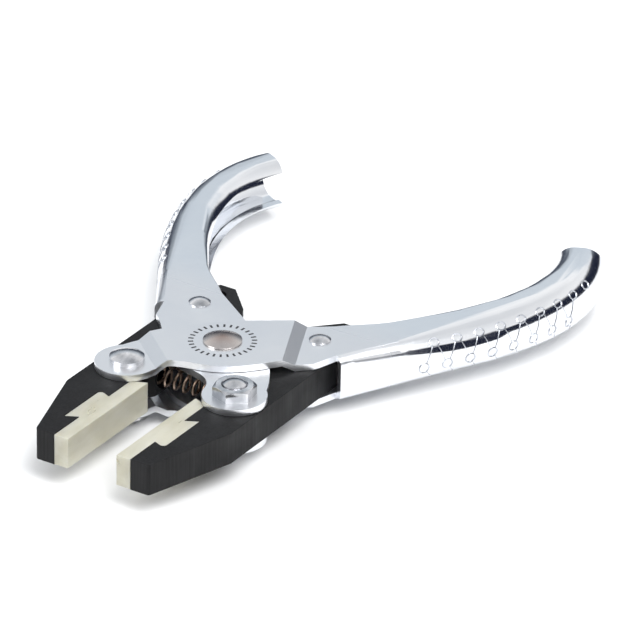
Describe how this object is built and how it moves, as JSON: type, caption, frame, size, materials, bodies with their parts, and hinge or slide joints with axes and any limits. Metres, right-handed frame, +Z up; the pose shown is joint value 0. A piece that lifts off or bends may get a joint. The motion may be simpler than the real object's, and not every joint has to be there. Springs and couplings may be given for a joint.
{
  "type": "parallel-action pliers",
  "caption": "Small parallel-action pliers with black steel jaws, replaceable soft pads, pressed-steel channel handles and a return spring between the jaws.",
  "frame": {"origin": "on the main pivot's axis, half way through the jaws' thickness", "axes": "+X towards the jaw tips along the centre line, +Y towards the left grip, +Z up along the pivot"},
  "size_m": [0.1171, 0.0866, 0.0154],
  "materials": {
    "plated_sheet": "bright plated, satin on the flat plates",
    "bright_fastener": "bright nickel plated",
    "rivet_steel": "polished, slightly coppery",
    "black_steel": "matte black oxide with fine grinding marks",
    "soft_pad": "translucent cast polyurethane",
    "spring_wire": "dark bronze oiled wire"
  },
  "bodies": {
    "pivot": {"main_rivet": "rivet_steel", "pivot_spacer": "bright_fastener"},
    "left_handle": {"left_handle": "plated_sheet", "right_jaw_bolt": "bright_fastener", "right_jaw_nut": "bright_fastener", "left_slot_rivet": "bright_fastener"},
    "right_handle": {"right_handle": "plated_sheet", "left_jaw_bolt": "bright_fastener", "left_jaw_nut": "bright_fastener", "right_slot_rivet": "bright_fastener"},
    "right_jaw": {"right_jaw": "black_steel", "right_insert": "soft_pad", "return_spring": "spring_wire"},
    "left_jaw": {"left_jaw": "black_steel", "left_insert": "soft_pad"}
  },
  "joints": [
    {"name": "handle_squeeze", "type": "hinge", "parent": "pivot", "child": "left_handle", "pos_m": [0, 0, 0], "axis": [0, 0, 1], "range_deg": [0, 19], "stiffness_Nm_per_rad": 2.4, "springref_deg": -10.31, "deforming": ["return_spring"]},
    {"name": "right_handle_squeeze", "type": "hinge", "parent": "pivot", "child": "right_handle", "pos_m": [0, 0, 0], "axis": [0, 0, -1], "range_deg": [0, 19]},
    {"name": "right_jaw_pivot", "type": "hinge", "parent": "left_handle", "child": "right_jaw", "pos_m": [0.01413, -0.01194, 0], "axis": [0, 0, -1], "range_deg": [0, 19]},
    {"name": "left_jaw_pivot", "type": "hinge", "parent": "right_handle", "child": "left_jaw", "pos_m": [0.01413, 0.01194, 0], "axis": [0, 0, 1], "range_deg": [0, 19]}
  ],
  "couplings": [
    {"joint": "right_handle_squeeze", "follows": "handle_squeeze", "ratio": 1},
    {"joint": "right_jaw_pivot", "follows": "handle_squeeze", "ratio": 1},
    {"joint": "left_jaw_pivot", "follows": "handle_squeeze", "ratio": 1}
  ]
}
